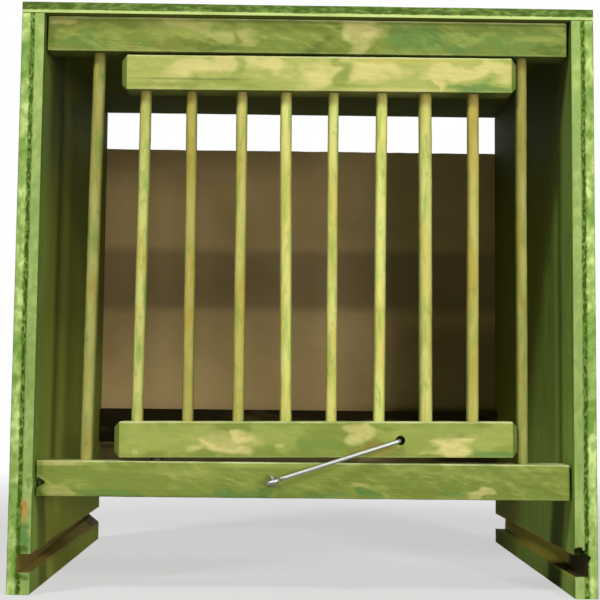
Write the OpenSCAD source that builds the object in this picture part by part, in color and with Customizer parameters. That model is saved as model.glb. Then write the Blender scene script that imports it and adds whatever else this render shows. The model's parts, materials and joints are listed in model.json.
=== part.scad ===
// Bird nest box with a barred front, a pivoting barred door and a wire hook.
// X runs across the box, Y from front to back, Z up. The origin is the centre of the
// whole box's footprint, at the level that the side panels stand on.

/* [Case] */
// Width over the two side panels
case_w = 400; // [380:1:460]
// Depth of the side panels
case_d = 300; // [290:1:360]
// Height of the side panels
side_h = 400; // [340:1:460]
// Thickness of the side panels
side_t = 16; // [14:0.5:19]
// Thickness of the top panel
top_t = 8; // [6:0.5:15]

/* [Tray grooves] */
// Height of each groove's mouth
groove_h = 16; // [8:0.5:20]
// Depth of each groove into its side panel
groove_depth = 9; // [4:0.5:10]
// Height of each groove above the panel's foot
groove_z = 13; // [8:0.5:25]

/* [Back] */
// Thickness of the hardboard back
back_t = 3; // [2:0.5:6]
// Height of the back's lower edge above the foot
back_z = 65; // [50:1:80]
// Opening left above the back for air
vent_h = 34.5; // [20:0.5:60]
// Distance from the back's side edges to the case's sides
back_inset = 2; // [0:0.5:6]
// Height of the dark batten along the foot of the back
batten_h = 30.5; // [24:0.5:45]
// Thickness of that batten
batten_t = 12; // [10:0.5:14]
// Height of the batten's lower edge above the foot
batten_z = 90; // [80:1:120]

/* [Front frame] */
// Height of the frame's rails
rail_h = 25; // [20:0.5:35]
// Thickness of the rails of the frame and of the door
rail_t = 18; // [16:0.5:24]
// Height of the bottom rail above the foot
bottom_rail_z = 65; // [50:1:90]
// Distance from the side panels' front edges back to the rails
front_setback = 6; // [2:0.5:12]
// Gap between each end of a rail and its side panel
rail_end_gap = 1; // [0.5:0.1:2]
// Chamfer along the long edges of the rails
rail_edge = 0.8; // [0.4:0.1:2]
// Depth of the split in the left end of the bottom rail
split_depth = 5; // [2:0.5:8]
// Height of that split's mouth
split_h = 8; // [4:0.5:10]

/* [Bars] */
// Diameter of the round bars
bar_d = 8; // [6:0.5:10]
// Distance from the left side panel to the middle of the left fixed bar
left_bar_margin = 35.3; // [32:0.1:40]
// Distance from the right side panel to the middle of the right fixed bar
right_bar_margin = 32.1; // [31:0.1:40]
// Depth of each bar's seat in its rail
bar_seat = 12; // [8:0.5:15]

/* [Door] */
// Height of the door's rails
door_rail_h = 25; // [20:0.5:35]
// Gap between the door and the frame's bottom rail
door_bottom_gap = 3; // [2:0.1:4]
// Gap between the door and the frame's top rail
door_top_gap = 1.5; // [1:0.1:3]
// Distance from the first bar of the door to the door's left end
door_left_reach = 15.7; // [12:0.1:20]
// Gap between the door's right end and the fixed bar beside it
door_end_gap = 0.5; // [0.4:0.1:2]
// Chamfer round the ends of the door's rails
door_chamfer = 4; // [2:0.5:6]

/* [Pivots] */
// Diameter of the pivot nails
pin_d = 3; // [2:0.5:4]
// Distance from the door's left end to the pivots
pivot_reach = 29; // [25:0.5:31]
// Depth of each pivot nail in its door rail
pin_seat = 15; // [10:0.5:18]
// Diameter of the pivot nails' heads
pin_head_d = 6; // [5:0.5:8]
// Thickness of those heads
pin_head_t = 1.2; // [0.8:0.1:2]
// Diameter of the spacer under the door
spacer_d = 9; // [7:0.5:12]

/* [Hook] */
// Sideways distance from the screw eye to the hook's hole
latch_span = 87; // [60:1:110]
// Distance of the hook's hole left of the middle between the door's sixth and seventh bars
hole_shift = 2.4; // [0:0.1:4]
// Diameter of the hook's hole in the door
hole_d = 6.5; // [6:0.1:8]
// Depth of that hole
hole_depth = 13; // [12:0.5:15]
// Diameter of the hook's wire
hook_wire_d = 3; // [2.4:0.1:3.2]
// Radius of the hook's own ring, to the middle of the wire
hook_ring_r = 4.5; // [4.3:0.1:5]
// Extra thickness of the wire where it is hammered round into that ring
ring_swell = 0.2; // [0.1:0.05:0.3]
// Depth of the hook's bent tip in the door
tip_depth = 10; // [6:0.5:11]
// Distance of the bend's corner from the door's face
bend_rise = 3.2; // [3:0.1:4]
// Radius of the bend, to the middle of the wire
bend_r = 3; // [2:0.1:3.4]
// Distance of the tip from the middle of its hole, towards the eye
tip_lead = 0.9; // [0.5:0.1:1.2]
// Diameter of the screw eye's wire
eye_wire_d = 2.2; // [1.8:0.1:2.4]
// Radius of the eye's ring, to the middle of the wire
eye_ring_r = 3.75; // [3.6:0.05:4.2]
// Distance of the eye's middle from the rail's face
eye_rise = 5.5; // [5.4:0.1:7]
// Diameter of the eye's screw shank
eye_shank_d = 2.8; // [2.2:0.1:3.2]
// Length of that shank in the rail
eye_screw_l = 14; // [10:0.5:15]

/* [Screws and nails] */
// Diameter of the countersunk screws' heads
screw_head_d = 8; // [6:0.5:9]
// Diameter of their shanks
screw_d = 4; // [3:0.5:5]
// Length of the screws
screw_l = 40; // [35:1:44]
// Width of the cross slot in each head
slot_w = 1.1; // [0.8:0.1:1.5]
// Depth of the cross slot
slot_depth = 1.2; // [0.8:0.1:1.6]
// Distance of the outer top screws from the panel's front and back edges
top_screw_inset = 40; // [35:1:60]
// Diameter of the back nails
nail_d = 1.8; // [1.4:0.1:2.4]
// Length of the back nails
nail_l = 14; // [11:0.5:14.5]
// Diameter of the back nails' heads
nail_head_d = 6; // [4:0.5:7]
// Thickness of the back nails' heads
nail_head_t = 0.6; // [0.4:0.1:1]
// Distance of the outer nails from the back's upper and lower edges
nail_inset = 16; // [14:1:22]

/* [Hidden] */

// Roundness of pins, bars and bores
$fn = 48;
// Radial clearance of every pin, bar and screw in its hole
fit_gap = 0.05;
// Clearance of the door above its spacer
spacer_gap = 0.3;
// Overshoot that makes a cut pass its face cleanly
cut = 1;
// Bars of the door, between the two fixed ones
door_bars = 8;
// Nails down each side of the back, and along the batten
side_nails = 4;
batten_nails = 3;
// Part of the batten's length between its outer nails
batten_nail_span = 0.65;

stain_green = [0.40, 0.49, 0.22];
rail_green = [0.53, 0.59, 0.30];
bar_green = [0.71, 0.72, 0.37];
door_green = [0.68, 0.70, 0.39];
board_brown = [0.43, 0.36, 0.22];
batten_dark = [0.13, 0.12, 0.06];
zinc_grey = [0.82, 0.84, 0.83];

// The eye and hook stand this far in front of the rails' faces
hook_axis_rise = eye_rise + eye_ring_r;
hook_reach = hook_axis_rise + hook_ring_r + (hook_wire_d + ring_swell) / 2;

// The whole box's depth, from the hook to the nail heads, is centred on the origin
whole_depth = hook_reach - front_setback + case_d + back_t + nail_head_t;
front_y = hook_reach - front_setback - whole_depth / 2;
back_y = front_y + case_d;
rail_y = front_y + front_setback;
bar_y = rail_y + rail_t / 2;

inner_x = case_w / 2 - side_t;
rail_end_x = inner_x - rail_end_gap;
top_rail_z = side_h - rail_h;

first_bar_x = left_bar_margin - inner_x;
bar_pitch = (inner_x - right_bar_margin - first_bar_x) / (door_bars + 1);
function bar_x(i) = first_bar_x + i * bar_pitch;

door_left_x = bar_x(1) - door_left_reach;
door_right_x = bar_x(door_bars + 1) - bar_d / 2 - door_end_gap;
door_z = bottom_rail_z + rail_h + door_bottom_gap;
door_top_z = top_rail_z - door_top_gap;
door_top_rail_z = door_top_z - door_rail_h;
pivot_x = door_left_x + pivot_reach;

// The hook lies in a tilted plane, from the eye up to its hole in the door
hole_x = (bar_x(6) + bar_x(7)) / 2 - hole_shift;
eye_x = hole_x - latch_span;
eye_z = bottom_rail_z + rail_h / 2;
hole_z = door_z + door_rail_h / 2;
hook_tilt = atan2(hole_z - eye_z, latch_span);
hook_l = norm([latch_span, hole_z - eye_z]) - tip_lead;
shank_slope = atan2(hook_axis_rise - bend_rise, hook_l);
bend_angle = 90 - shank_slope;
bend_run = bend_r * tan(bend_angle / 2);
// The wire is drawn a little thinner in the bend, and its straight parts lap into it
bend_thinning = 0.1;
bend_lap = 0.15;

// Where screws go through the side panels, as height and depth
side_screw_places = [
    [top_rail_z + rail_h / 2, bar_y],
    [bottom_rail_z + rail_h / 2, bar_y],
    [batten_z + batten_h / 2, back_y - batten_t / 2]
];
top_screw_y = [front_y + top_screw_inset, (front_y + back_y) / 2, back_y - top_screw_inset];

back_top_z = side_h - vent_h;
nail_step = (back_top_z - back_z - 2 * nail_inset) / (side_nails - 1);
function side_nail_z(i) = back_z + nail_inset + i * nail_step;
batten_nail_step = 2 * inner_x * batten_nail_span / (batten_nails - 1);
function batten_nail_x(i) = (i - (batten_nails - 1) / 2) * batten_nail_step;

// Box from its lower corner, as width, depth and height
module block(corner, size) {
    translate(corner)
        cube(size);
}

// Straight rail along X with chamfered long edges
module rail(x_low, x_high, z_low, height) {
    c = rail_edge;
    translate([x_low, rail_y, z_low])
        rotate([90, 0, 90])
            linear_extrude(x_high - x_low)
                polygon([
                    [c, 0], [rail_t - c, 0], [rail_t, c], [rail_t, height - c],
                    [rail_t - c, height], [c, height], [0, height - c], [0, c]
                ]);
}

// Outline of a rectangle with its two short ends chamfered
module chamfered_end(length, height, c) {
    polygon([
        [c, 0], [length - c, 0], [length, c], [length, height - c],
        [length - c, height], [c, height], [0, height - c], [0, c]
    ]);
}

// Rail of the door, chamfered all round its two ends
module door_rail(z_low) {
    length = door_right_x - door_left_x;
    c = door_chamfer;
    intersection() {
        rail(door_left_x, door_right_x, z_low, door_rail_h);
        translate([door_left_x, rail_y + rail_t, z_low])
            rotate([90, 0, 0])
                linear_extrude(rail_t)
                    chamfered_end(length, door_rail_h, c);
        translate([door_left_x, rail_y, z_low])
            linear_extrude(door_rail_h)
                chamfered_end(length, rail_t, c);
    }
}

// Upright round solid at a place across the front
module upright(x, z_low, z_high, d) {
    translate([x, bar_y, z_low])
        cylinder(h = z_high - z_low, d = d);
}

// Countersunk screw along +Z, with its head's face at the origin
module screw_body(gap, slotted) {
    head_h = (screw_head_d - screw_d) / 2;
    difference() {
        union() {
            translate([0, 0, head_h])
                cylinder(h = screw_l - head_h - screw_d, d = screw_d + 2 * gap);
            cylinder(h = head_h, d1 = screw_head_d + 2 * gap, d2 = screw_d + 2 * gap);
            translate([0, 0, screw_l - screw_d])
                cylinder(h = screw_d, d1 = screw_d + 2 * gap, d2 = screw_d / 4);
        }
        if (slotted)
            for (turn = [0, 90])
                rotate([0, 0, turn])
                    translate([-screw_d / 2, -slot_w / 2, -cut])
                        cube([screw_d, slot_w, slot_depth + cut]);
    }
}

// Straight hole for a screw, along +Z from the head's face
module screw_hole() {
    head_h = (screw_head_d - screw_d) / 2;
    union() {
        cylinder(h = screw_l + fit_gap, d = screw_d + 2 * fit_gap);
        cylinder(h = head_h, d1 = screw_head_d + 2 * fit_gap, d2 = screw_d + 2 * fit_gap);
        translate([0, 0, -cut])
            cylinder(h = cut, d = screw_head_d + 2 * fit_gap);
    }
}

// Puts its child at each side screw of one side; -1 is left and 1 is right
module at_side_screws(side) {
    for (place = side_screw_places)
        translate([side * case_w / 2, place[1], place[0]])
            rotate([0, -90 * side, 0])
                children();
}

// Puts its child at each top screw of one side
module at_top_screws(side) {
    for (y = top_screw_y)
        translate([side * (case_w - side_t) / 2, y, side_h + top_t])
            rotate([180, 0, 0])
                children();
}

// Puts its child at each nail of the back, pointing to the front
module at_back_nails() {
    for (side = [-1, 1])
        for (i = [0 : side_nails - 1])
            translate([side * (case_w - side_t) / 2, back_y + back_t, side_nail_z(i)])
                rotate([90, 0, 0])
                    children();
    for (i = [0 : batten_nails - 1])
        translate([batten_nail_x(i), back_y + back_t, batten_z + batten_h / 2])
            rotate([90, 0, 0])
                children();
}

module nail_hole() {
    translate([0, 0, -cut])
        cylinder(h = nail_l + cut + fit_gap, d = nail_d + 2 * fit_gap);
}

// Side panel with its tray groove, open at the front and the back
module side_panel(side) {
    difference() {
        block([min(side * case_w / 2, side * inner_x), front_y, 0], [side_t, case_d, side_h]);
        block(
            [min(side * (inner_x - cut), side * (inner_x + groove_depth)), front_y - cut, groove_z],
            [groove_depth + cut, case_d + 2 * cut, groove_h]
        );
        at_side_screws(side)
            screw_hole();
        at_top_screws(side)
            screw_hole();
        at_back_nails()
            nail_hole();
    }
}

module left_side_panel() {
    color(stain_green)
        side_panel(-1);
}

module right_side_panel() {
    color(stain_green)
        side_panel(1);
}

module top_panel() {
    color(stain_green)
        difference() {
            block([-case_w / 2, front_y, side_h], [case_w, case_d, top_t]);
            for (side = [-1, 1])
                at_top_screws(side)
                    screw_hole();
        }
}

module back_panel() {
    color(board_brown)
        difference() {
            block(
                [-case_w / 2 + back_inset, back_y, back_z],
                [case_w - 2 * back_inset, back_t, back_top_z - back_z]
            );
            at_back_nails()
                nail_hole();
        }
}

module back_batten() {
    color(batten_dark)
        difference() {
            block([-inner_x, back_y - batten_t, batten_z], [2 * inner_x, batten_t, batten_h]);
            for (side = [-1, 1])
                at_side_screws(side)
                    screw_hole();
            at_back_nails()
                nail_hole();
        }
}

// The top rail holds the fixed bars' upper ends and the upper pivot nail
module frame_top_rail() {
    color(rail_green)
        difference() {
            rail(-rail_end_x, rail_end_x, top_rail_z, rail_h);
            for (i = [0, door_bars + 1])
                upright(bar_x(i), top_rail_z - cut, top_rail_z + bar_seat, bar_d + 2 * fit_gap);
            upright(pivot_x, top_rail_z - cut, side_h + cut, pin_d + 2 * fit_gap);
            upright(pivot_x, side_h - pin_head_t, side_h + cut, pin_head_d + 2 * fit_gap);
            for (side = [-1, 1])
                at_side_screws(side)
                    screw_hole();
        }
}

// The bottom rail holds the fixed bars' lower ends, the lower pivot nail and the eye
module frame_bottom_rail() {
    rail_top = bottom_rail_z + rail_h;
    color(rail_green)
        difference() {
            rail(-rail_end_x, rail_end_x, bottom_rail_z, rail_h);
            for (i = [0, door_bars + 1])
                upright(bar_x(i), rail_top - bar_seat, rail_top + cut, bar_d + 2 * fit_gap);
            upright(pivot_x, bottom_rail_z - cut, rail_top + cut, pin_d + 2 * fit_gap);
            upright(pivot_x, bottom_rail_z - cut, bottom_rail_z + pin_head_t, pin_head_d + 2 * fit_gap);
            translate([eye_x, rail_y - cut, eye_z])
                rotate([-90, 0, 0])
                    cylinder(h = eye_screw_l + cut + fit_gap, d = eye_shank_d + 2 * fit_gap);
            for (side = [-1, 1])
                at_side_screws(side)
                    screw_hole();
            end_split();
        }
}

// Wedge split out of the left end's front edge
module end_split() {
    translate([-rail_end_x - cut, rail_y - cut, bottom_rail_z + rail_h / 2])
        rotate([-90, 0, 0])
            linear_extrude(rail_t / 3 + cut)
                polygon([
                    [0, -split_h / 2], [cut, -split_h / 2],
                    [cut + split_depth, 0], [cut, split_h / 2], [0, split_h / 2]
                ]);
}

module fixed_bar(i) {
    color(bar_green)
        upright(bar_x(i), bottom_rail_z + rail_h - bar_seat, top_rail_z + bar_seat, bar_d);
}

module door_bar(i) {
    color(bar_green)
        upright(bar_x(i), door_z + door_rail_h - bar_seat, door_top_rail_z + bar_seat, bar_d);
}

module door_top_rail() {
    color(door_green)
        difference() {
            door_rail(door_top_rail_z);
            for (i = [1 : door_bars])
                upright(bar_x(i), door_top_rail_z - cut, door_top_rail_z + bar_seat, bar_d + 2 * fit_gap);
            upright(pivot_x, door_top_z - pin_seat - cut, door_top_z + cut, pin_d + 2 * fit_gap);
        }
}

module door_bottom_rail() {
    rail_top = door_z + door_rail_h;
    color(door_green)
        difference() {
            door_rail(door_z);
            for (i = [1 : door_bars])
                upright(bar_x(i), rail_top - bar_seat, rail_top + cut, bar_d + 2 * fit_gap);
            upright(pivot_x, door_z - cut, door_z + pin_seat + cut, pin_d + 2 * fit_gap);
            translate([hole_x, rail_y - cut, hole_z])
                rotate([-90, 0, 0])
                    cylinder(h = hole_depth + cut, d = hole_d);
        }
}

// Nail down through the frame's top rail, with its head sunk flush under the top panel
module upper_pivot_nail() {
    color(zinc_grey)
        union() {
            upright(pivot_x, door_top_z - pin_seat, side_h, pin_d);
            upright(pivot_x, side_h - pin_head_t, side_h, pin_head_d);
        }
}

// Nail up through the frame's bottom rail, with its head sunk flush into the rail's underside
module lower_pivot_nail() {
    color(zinc_grey)
        union() {
            upright(pivot_x, bottom_rail_z, door_z + pin_seat, pin_d);
            upright(pivot_x, bottom_rail_z, bottom_rail_z + pin_head_t, pin_head_d);
        }
}

// Spacer on the lower nail, which carries the door
module pivot_spacer() {
    spacer_z = bottom_rail_z + rail_h;
    color(zinc_grey)
        difference() {
            upright(pivot_x, spacer_z, door_z - spacer_gap, spacer_d);
            upright(pivot_x, spacer_z - cut, door_z + cut, pin_d + 2 * fit_gap);
        }
}

// Turns its child so that X runs along the hook and Y away from the door's face
module in_hook_plane(rise) {
    translate([eye_x, rail_y - rise, eye_z])
        rotate([0, -hook_tilt, 0])
            rotate([180, 0, 0])
                children();
}

module wire_ring(r, wire_d) {
    rotate_extrude()
        translate([r, 0])
            circle(d = wire_d);
}

// Screw eye: a ring that stands across the hook, on a pointed shank in the rail
module latch_eye() {
    point_l = eye_shank_d;
    color(zinc_grey)
        in_hook_plane(eye_rise)
            union() {
                rotate([0, 90, 0])
                    wire_ring(eye_ring_r, eye_wire_d);
                rotate([90, 0, 0])
                    translate([0, 0, eye_ring_r])
                        cylinder(h = eye_rise - eye_ring_r + eye_screw_l - point_l, d = eye_shank_d);
                rotate([90, 0, 0])
                    translate([0, 0, eye_rise + eye_screw_l - point_l])
                        cylinder(h = point_l, d1 = eye_shank_d, d2 = eye_shank_d / 4);
            }
}

// Wire hook: its own ring round the eye, a straight shank, a bend and the tip
module latch_hook() {
    shank_l = norm([hook_l, hook_axis_rise - bend_rise]) - bend_run;
    tip_top = bend_rise - bend_run;
    bend_centre = [hook_l - bend_r, tip_top - hook_axis_rise];
    color(zinc_grey)
        in_hook_plane(hook_axis_rise)
            union() {
                wire_ring(hook_ring_r, hook_wire_d + ring_swell);
                rotate([0, 0, -shank_slope])
                    rotate([0, 90, 0])
                        translate([0, 0, hook_ring_r])
                            cylinder(h = shank_l - hook_ring_r + bend_lap, d = hook_wire_d);
                translate(bend_centre)
                    rotate_extrude(angle = bend_angle)
                        translate([bend_r, 0])
                            circle(d = hook_wire_d - bend_thinning);
                translate([hook_l, tip_top - hook_axis_rise + bend_lap, 0])
                    rotate([90, 0, 0])
                        cylinder(h = tip_top + tip_depth + bend_lap, d = hook_wire_d);
            }
}

module side_screws() {
    color(zinc_grey)
        for (side = [-1, 1])
            at_side_screws(side)
                screw_body(0, true);
}

module top_screws() {
    color(zinc_grey)
        for (side = [-1, 1])
            at_top_screws(side)
                screw_body(0, true);
}

module back_nails() {
    color(zinc_grey)
        at_back_nails()
            union() {
                cylinder(h = nail_l, d = nail_d);
                translate([0, 0, -nail_head_t])
                    cylinder(h = nail_head_t, d = nail_head_d);
            }
}

left_side_panel();
right_side_panel();
top_panel();
back_panel();
back_batten();
frame_top_rail();
frame_bottom_rail();
fixed_bar(0);  // left_fixed_bar
fixed_bar(door_bars + 1);  // right_fixed_bar
door_top_rail();
door_bottom_rail();
door_bar(1);  // door_bar_1
door_bar(2);  // door_bar_2
door_bar(3);  // door_bar_3
door_bar(4);  // door_bar_4
door_bar(5);  // door_bar_5
door_bar(6);  // door_bar_6
door_bar(7);  // door_bar_7
door_bar(8);  // door_bar_8
upper_pivot_nail();
lower_pivot_nail();
pivot_spacer();
latch_eye();
latch_hook();
side_screws();
top_screws();
back_nails();
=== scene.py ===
import json
import math

import bmesh
import bpy
from bpy.props import FloatProperty, FloatVectorProperty, PointerProperty
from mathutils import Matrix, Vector


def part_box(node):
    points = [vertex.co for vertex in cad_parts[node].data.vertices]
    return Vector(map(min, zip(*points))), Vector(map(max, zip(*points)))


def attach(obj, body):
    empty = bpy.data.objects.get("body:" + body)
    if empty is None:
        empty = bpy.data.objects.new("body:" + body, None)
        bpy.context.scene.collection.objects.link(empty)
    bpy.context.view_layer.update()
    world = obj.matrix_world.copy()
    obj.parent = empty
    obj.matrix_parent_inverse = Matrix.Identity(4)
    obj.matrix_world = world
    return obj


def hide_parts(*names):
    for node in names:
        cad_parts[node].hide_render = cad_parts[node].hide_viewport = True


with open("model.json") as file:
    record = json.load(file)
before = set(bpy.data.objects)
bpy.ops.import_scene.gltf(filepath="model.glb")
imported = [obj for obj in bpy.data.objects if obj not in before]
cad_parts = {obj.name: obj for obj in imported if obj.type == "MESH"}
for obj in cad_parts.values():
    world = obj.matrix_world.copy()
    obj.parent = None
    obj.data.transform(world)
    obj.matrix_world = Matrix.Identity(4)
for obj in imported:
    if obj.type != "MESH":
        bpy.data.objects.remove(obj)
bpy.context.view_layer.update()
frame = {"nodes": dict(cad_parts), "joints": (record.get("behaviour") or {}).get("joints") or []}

bl_info = {
    "name": "Bird nest box",
    "version": (1, 0, 0),
    "blender": (4, 5, 0),
    "location": "View3D > Sidebar > Nest Box",
    "description": "Builds a stained plywood nest box with a barred door and a wire hook",
    "category": "Add Mesh",
}

SIDES = (("left_side_panel", -1), ("right_side_panel", 1))

# Rails and batten whose screws enter through each side
SCREWED_RAILS = ("frame_bottom_rail", "back_batten", "frame_top_rail")

# Radii of a screw's head and of its countersink, and the countersink's depth
SCREW_HEAD = 0.004
SINK_RADIUS = 0.00425
SINK_DEPTH = 0.0012

# How far cutters stand proud of the wood that they cut
PROUD = 0.002

# Depth of the torn core ply's middle below a side's outer face, and the levels between which it is torn
CORE_PLY = 0.0079
CORE_RUNS = ((0.004, 0.0105), (0.0315, 0.395))

# Lowest and highest level of a tray groove, and its depth
GROOVE_LEVELS = (0.013, 0.029)
GROOVE_DEPTH = 0.0092

# The same levels as each groove was cut by hand, at its front end and its back end
GROOVE_ENDS = {
    "left_side_panel": ((0.0148, 0.0274), (0.0140, 0.0298)),
    "right_side_panel": ((0.0150, 0.0292), (0.0124, 0.0264)),
}

# Chips in the sides' front edges: place across, height, reach and seed
CHIPS = {
    "left_side_panel": (
        (-0.1892, 0.0565, (0.0019, 0.0011, 0.0064), 3),
        (-0.1845, 0.0745, (0.0035, 0.0018, 0.0050), 5),
    ),
    "right_side_panel": (
        (0.1862, 0.0300, (0.0056, 0.0060, 0.0052), 7),
        (0.1918, 0.0270, (0.0030, 0.0034, 0.0030), 8),
    ),
}

# How far each rail of the door rises to the right along its length, because the door is out of square
RAIL_RISE = {"door_top_rail": 0.0037, "door_bottom_rail": 0.0086}

# Each rail: body, finish, main and thin stain, seed, slope of the strokes, busyness and lightness
RAILS = {
    "frame_top_rail": ("case", "stain_top_rail", "rail_green", "rail_pale", 1, 0.0, 1.0, 0.92),
    "frame_bottom_rail": ("case", "stain_bottom_rail", "rail_green", "rail_pale", 3, 0.15, 1.0, 1.0),
    "door_top_rail": ("door", "stain_door_top", "rail_pale", "cream", 6, 0.3, 0.4, 1.0),
    "door_bottom_rail": ("door", "stain_door_bottom", "rail_green", "rail_pale", 9, 0.1, 0.7, 1.08),
}

# Patches in each rail's stain, a few of them painted light or shadow as marked, in the order in which they
# were laid: stain, place along the rail, height, reach sideways and upward in millimetres, and strength in
# percent
PATCHES = {
    "frame_top_rail": (
        ("moss", 130, 387, 48, 11, 38),
        ("cream", -168, 396.5, 9, 3.5, 60),
        # Painted light: pale strips along the top edge, lifting the shadow that the top panel casts there
        ("rail_pale", -120, 399, 62, 1.4, 80),
        ("rail_pale", 112, 399, 70, 1.1, 50),
        ("cream", 38, 399, 12, 1.4, 60),
        ("moss", -162, 382, 16, 4, 45),
        ("rail_pale", -150, 389, 24, 2.4, 50),
        ("rail_pale", -92, 393, 26, 7, 70),
        ("cream", -84, 395, 14, 4, 45),
        ("bare_wood_and_shade", -96, 380, 12, 3.5, 25),
        ("shadow_green", -66, 378, 12, 3, 50),
        ("cream", -64, 388, 7, 3, 50),
        ("cream", -44, 385, 7, 5, 50),
        ("rail_pale", -50, 392, 16, 4, 60),
        ("shadow_green", 6, 379, 13, 4, 55),
        ("cream", 36, 394, 10, 6, 85),
        ("cream", 36, 383, 8, 7, 55),
        ("rail_pale", 50, 391, 6, 5, 50),
        ("moss", 74, 387, 16, 10, 80),
        ("moss", 102, 379, 10, 4, 60),
        ("rail_pale", 112, 389, 20, 2.6, 45),
        ("rail_pale", 160, 388, 14, 2, 45),
        ("shadow_green", 167, 380, 9, 2.6, 60),
    ),
    "frame_bottom_rail": (
        ("shadow_green", 115, 78, 66, 11, 28),
        ("cream", -166, 88, 16, 1.6, 55),
        ("cream", -165, 68, 9, 2.4, 35),
        ("moss", -130, 68.5, 20, 3.2, 60),
        ("bare_wood_and_shade", -100, 79, 14, 5, 18),
        ("moss", -42, 68, 24, 3.2, 75),
        ("rail_pale", -88, 82, 22, 4, 40),
        ("rail_pale", -20, 87.5, 46, 1.6, 50),
        ("moss", 10, 69, 14, 3.6, 60),
        ("moss", 44, 68.5, 7, 3.4, 90),
        ("cream", 38, 76, 8, 2.2, 45),
        ("rail_pale", 80, 84, 24, 3, 45),
        ("moss", 104, 69.5, 9, 2, 60),
        ("cream", 124, 69.8, 10, 2.8, 65),
        ("rail_pale", 158, 86, 20, 2.6, 40),
        ("shadow_green", -90, 65.6, 90, 1.2, 40),
        ("shadow_green", -181, 74.5, 5, 6, 95),
    ),
    "door_top_rail": (
        ("cream", -74, 365.5, 25, 6.5, 90),
        ("rail_green", -80, 352, 44, 3, 55),
        ("shadow_green", -78, 356.2, 40, 0.7, 45),
        ("rail_green", -47, 362, 5, 11, 45),
        ("cream", -28, 366, 12, 7, 95),
        ("cream", 5, 360, 12, 9.5, 90),
        ("bare_wood_and_shade", -67, 361, 4, 1.6, 30),
        ("rail_green", 23, 363, 5, 10, 70),
        ("cream", 46, 362.5, 17, 8, 95),
        ("rail_pale", 74, 361, 10, 10, 50),
        ("bar_ochre", 74, 371, 44, 1.8, 40),
        ("cream", 114, 364.5, 32, 5.5, 95),
        ("cream", 91, 354, 5, 5, 90),
        ("moss", 124, 351.8, 25, 3.2, 90),
        ("rail_green", 32, 352.3, 16, 1.2, 50),
        ("cream", 60, 350, 34, 1.4, 50),
    ),
    "door_bottom_rail": (
        ("rail_pale", -100, 106, 30, 11, 60),
        ("rail_pale", 100, 106, 44, 11, 50),
        ("cream", -90, 117, 38, 1, 50),
        ("cream", -52, 103, 21, 8, 55),
        ("cream", -43, 109, 6, 5, 80),
        ("cream", -68, 99.5, 7, 3.6, 80),
        ("cream", -50, 97.5, 12, 3, 70),
        ("cream", -116, 96.2, 2, 1.5, 60),
        ("rail_pale", -98, 104, 24, 7, 50),
        ("rail_pale", -16, 107, 14, 8, 60),
        ("cream", -17, 101, 3, 1.3, 50),
        ("moss", 12, 101, 13, 6, 30),
        ("cream", 38, 110, 8, 5.5, 75),
        ("rail_pale", 56, 110, 12, 5, 50),
        # Painted shadow of the hook
        ("bare_wood_and_shade", 54, 99.2, 16, 3.2, 75),
        ("cream", 102, 102, 15, 5.5, 95),
        ("cream", 90, 97.5, 9, 3, 50),
        ("shadow_green", 109, 108.5, 9, 1.2, 50),
        ("rail_pale", 131, 108, 13, 7, 60),
        ("moss", 130, 96.5, 14, 1.9, 80),
    ),
}

# Each dowel: body, how far its foot and its top stand to the right of their even place, girth, warmth and
# lightness
DOWELS = {
    "left_fixed_bar": ("case", -0.0013, 0.0010, 1.14, 0.05, 0.60),
    "right_fixed_bar": ("case", -0.0004, -0.0002, 1.03, 0.20, 0.60),
    "door_bar_1": ("door", -0.0007, 0.0013, 1.06, -0.05, 0.90),
    "door_bar_2": ("door", 0.0009, 0.0002, 1.02, 0.50, 0.76),
    "door_bar_3": ("door", 0.0026, 0.0021, 1.04, 0.30, 0.88),
    "door_bar_4": ("door", 0.0023, -0.0003, 1.07, 0.0, 1.08),
    "door_bar_5": ("door", 0.0003, 0.0, 1.0, 0.0, 1.04),
    "door_bar_6": ("door", -0.0001, 0.0010, 1.06, -0.1, 1.12),
    "door_bar_7": ("door", -0.0010, -0.0016, 1.22, 0.0, 0.96),
    "door_bar_8": ("door", -0.0017, -0.0010, 1.11, 0.4, 0.84),
}
# Height between the two levels at which those places are given
DOWEL_SPAN = 0.234

# Bores of the pivot nails in the door's rails: radius and depth
PIVOT_BORE = (0.0018, 0.0155)

# The hook's hole in the door: place along the rail, height, radius and depth
HOOK_HOLE = (0.066, 0.1055, 0.0033, 0.013)

# Each lamp: place, the point that it is aimed at and width
LAMPS = {
    "key": ((-1.30, -1.19, 2.05), (0, -0.1, 0.22), 0.46),
    "front": ((0.86, -1.76, 1.32), (0, 0.0, 0.18), 0.40),
    "low": ((0.98, -2.02, 0.34), (0, 0.0, 0.22), 0.42),
}

# The camera: place, turn in degrees and focal length in millimetres
CAMERA_PLACE = (-0.01551, -0.95465, 0.13967)
CAMERA_TURN = (94.342, -0.575, -0.853)
CAMERA_LENS = 70.76


def size(name, description, default):
    return FloatProperty(
        name=name, description=description, default=default, min=0.0, max=0.01, precision=5, unit="LENGTH"
    )


def colour(name, description, *levels):
    """A colour whose default is given as red, green and blue from 0 to 255."""
    parts = [level / 255 for level in levels]
    default = [p / 12.92 if p <= 0.04045 else ((p + 0.055) / 1.055) ** 2.4 for p in parts]
    return FloatVectorProperty(
        name=name, description=description, default=default, min=0.0, max=1.0, size=3, subtype="COLOR"
    )


def power(name, description, default):
    return FloatProperty(name=name, description=description, default=default, min=0.0, unit="POWER")


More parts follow.
